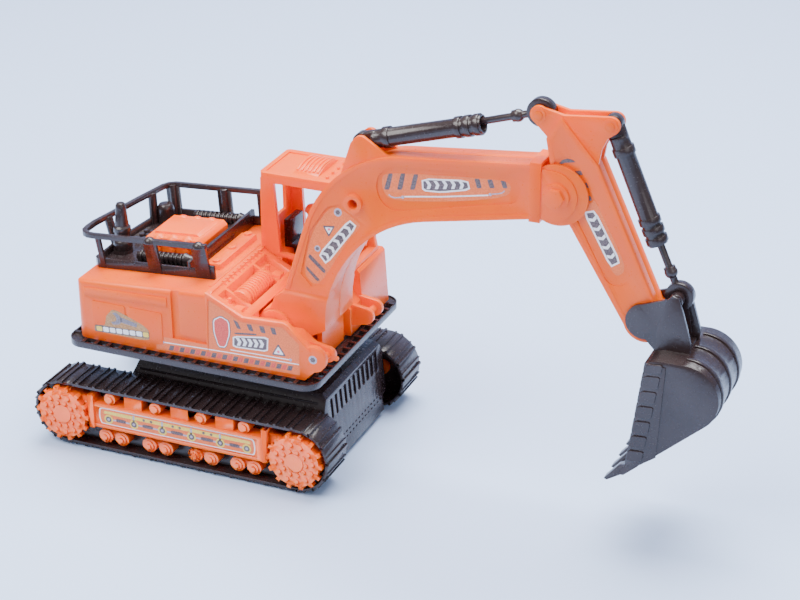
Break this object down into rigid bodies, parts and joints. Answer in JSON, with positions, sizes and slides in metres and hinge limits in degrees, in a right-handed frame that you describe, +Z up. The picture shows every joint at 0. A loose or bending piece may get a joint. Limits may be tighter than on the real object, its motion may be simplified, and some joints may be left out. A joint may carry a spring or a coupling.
{
  "type": "toy excavator",
  "caption": "Toy crawler excavator with a slewing house, lifting boom, swinging stick, curling bucket and rigid track shells that roll on small hidden wheels.",
  "frame": {"origin": "on the slewing axis at ground level, midway between the tracks", "axes": "+X forwards along the boom to the bucket, +Y to the cab side (left), +Z up"},
  "size_m": [0.3663, 0.1286, 0.2165],
  "materials": {
    "orange_plastic": "glossy, slightly translucent moulded plastic",
    "black_plastic": "semi-gloss moulded plastic",
    "steel": "zinc-plated"
  },
  "bodies": {
    "undercarriage": {"chassis_frame": "black_plastic", "chassis_base": "black_plastic", "chassis_screws": "steel", "right_track": "black_plastic", "left_track": "black_plastic", "right_side_frame": "orange_plastic", "left_side_frame": "orange_plastic", "slew_washer": "steel", "slew_screw": "steel"},
    "front_wheelset": {"front_axle": "steel", "front_right_wheel": "black_plastic", "front_left_wheel": "black_plastic"},
    "rear_wheelset": {"rear_axle": "steel", "rear_right_wheel": "black_plastic", "rear_left_wheel": "black_plastic"},
    "house": {"turntable_plate": "black_plastic", "house_shell": "orange_plastic", "house_screws": "steel", "engine_deck": "black_plastic", "exhaust_stack": "black_plastic", "engine_cover": "orange_plastic", "cab": "orange_plastic", "driver": "orange_plastic", "driver_seat": "black_plastic", "boom_pivot_pin": "steel"},
    "boom": {"boom_shell_right": "orange_plastic", "boom_shell_left": "orange_plastic", "boom_screws": "steel", "stick_pivot_pin": "steel"},
    "stick": {"stick_shell_right": "orange_plastic", "stick_shell_left": "orange_plastic", "stick_screws": "steel", "stick_rear_pin": "orange_plastic", "stick_front_pin": "orange_plastic", "bucket_pivot_pin": "steel"},
    "bucket": {"bucket": "black_plastic"},
    "stick_cylinder_barrel": {"stick_cylinder_barrel": "black_plastic"},
    "stick_cylinder_rod": {"stick_cylinder_rod": "black_plastic"},
    "bucket_cylinder_barrel": {"bucket_cylinder_barrel": "black_plastic"},
    "bucket_cylinder_rod": {"bucket_cylinder_rod": "black_plastic"}
  },
  "joints": [
    {"name": "slew", "type": "hinge", "parent": "undercarriage", "child": "house", "pos_m": [0, 0, 0.055], "axis": [0, 0, 1], "continuous": true},
    {"name": "boom_lift", "type": "hinge", "parent": "house", "child": "boom", "pos_m": [0.041, -0.017, 0.079], "axis": [0, -1, 0], "range_deg": [-10, 20]},
    {"name": "stick_swing", "type": "hinge", "parent": "boom", "child": "stick", "pos_m": [0.1864, -0.017, 0.1715], "axis": [0, -1, 0], "range_deg": [-25, 10]},
    {"name": "bucket_curl", "type": "hinge", "parent": "stick", "child": "bucket", "pos_m": [0.2316, -0.017, 0.1138], "axis": [0, -1, 0], "range_deg": [-45, 15]},
    {"name": "stick_cylinder_swing", "type": "hinge", "parent": "boom", "child": "stick_cylinder_barrel", "pos_m": [0.0835, -0.017, 0.1813], "axis": [0, -1, 0], "range_deg": [-1, 1]},
    {"name": "stick_rod_swing", "type": "hinge", "parent": "stick", "child": "stick_cylinder_rod", "pos_m": [0.1754, -0.017, 0.2095], "axis": [0, -1, 0], "range_deg": [-12, 26]},
    {"name": "bucket_cylinder_swing", "type": "hinge", "parent": "stick", "child": "bucket_cylinder_barrel", "pos_m": [0.2105, -0.017, 0.2087], "axis": [0, -1, 0], "range_deg": [-1, 1]},
    {"name": "bucket_rod_swing", "type": "hinge", "parent": "bucket", "child": "bucket_cylinder_rod", "pos_m": [0.2466, -0.017, 0.127], "axis": [0, -1, 0], "range_deg": [-16, 47]},
    {"name": "front_wheels_roll", "type": "hinge", "parent": "undercarriage", "child": "front_wheelset", "pos_m": [0.056, 0, 0.009], "axis": [0, 1, 0], "continuous": true},
    {"name": "rear_wheels_roll", "type": "hinge", "parent": "undercarriage", "child": "rear_wheelset", "pos_m": [-0.033, 0, 0.009], "axis": [0, 1, 0], "continuous": true}
  ],
  "couplings": [
    {"joint": "stick_cylinder_swing", "follows": "stick_swing", "ratio": 0.0247},
    {"joint": "stick_rod_swing", "follows": "stick_swing", "ratio": -0.9753},
    {"joint": "bucket_cylinder_swing", "follows": "bucket_curl", "ratio": -0.011},
    {"joint": "bucket_rod_swing", "follows": "bucket_curl", "ratio": -1.011}
  ]
}
